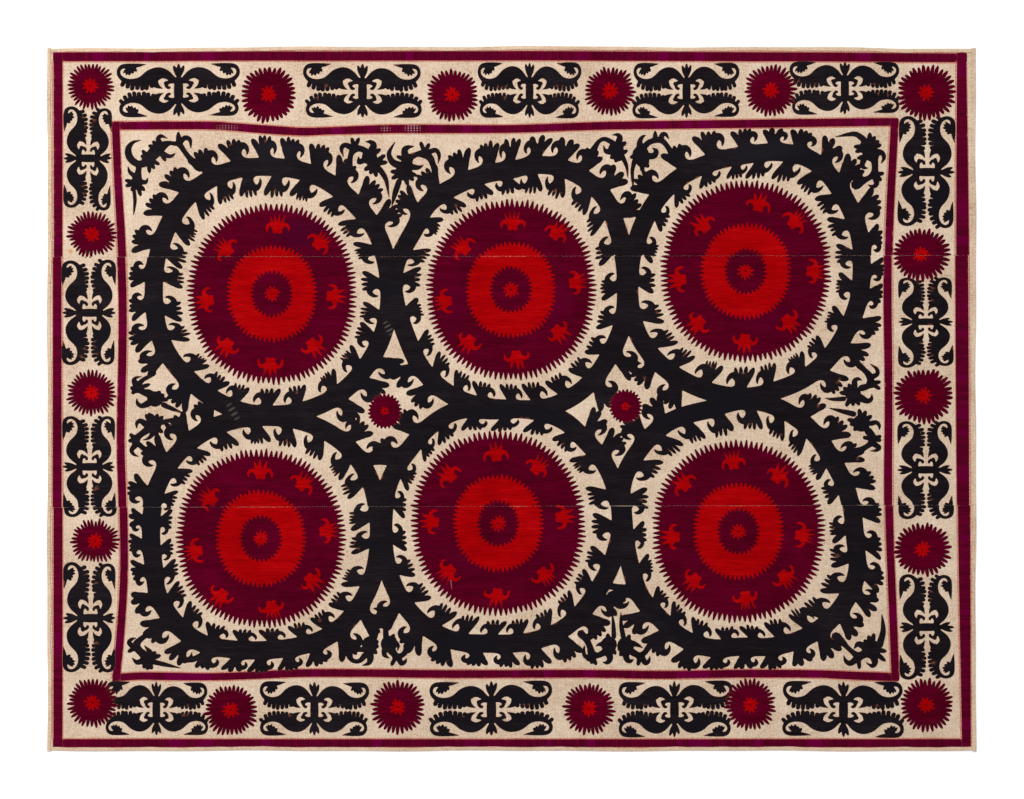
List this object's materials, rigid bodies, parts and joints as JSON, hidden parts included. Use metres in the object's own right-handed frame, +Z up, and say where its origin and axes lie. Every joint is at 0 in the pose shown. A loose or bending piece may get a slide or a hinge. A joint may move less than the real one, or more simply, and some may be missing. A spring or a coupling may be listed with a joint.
{
  "type": "suzani embroidered textile",
  "caption": "Large rectangular embroidered cotton hanging of joined loom panels with a narrow folded edge binding, laid flat, face up.",
  "frame": {"origin": "on the surface that the cloth lies on, under the middle of the cloth", "axes": "+X along the long side, +Y across the panels to the top panel, +Z up out of the embroidered face"},
  "size_m": [2.3232, 1.7628, 0.007],
  "materials": {
    "panel": "hand-woven cream cotton, covered with couched embroidery",
    "binding": "folded strip of plain tan cotton",
    "black_thread": "laid and couched black thread, soft sheen",
    "red_thread": "laid and couched crimson thread, soft sheen",
    "maroon_thread": "laid and couched maroon thread, soft sheen",
    "salmon_thread": "narrow stitched line of salmon thread"
  },
  "bodies": {
    "root": {"panel_top": "panel", "panel_middle": "panel", "panel_bottom": "panel", "binding_left": "binding", "binding_right": "binding", "binding_top": "binding", "binding_bottom": "binding"}
  },
  "joints": []
}
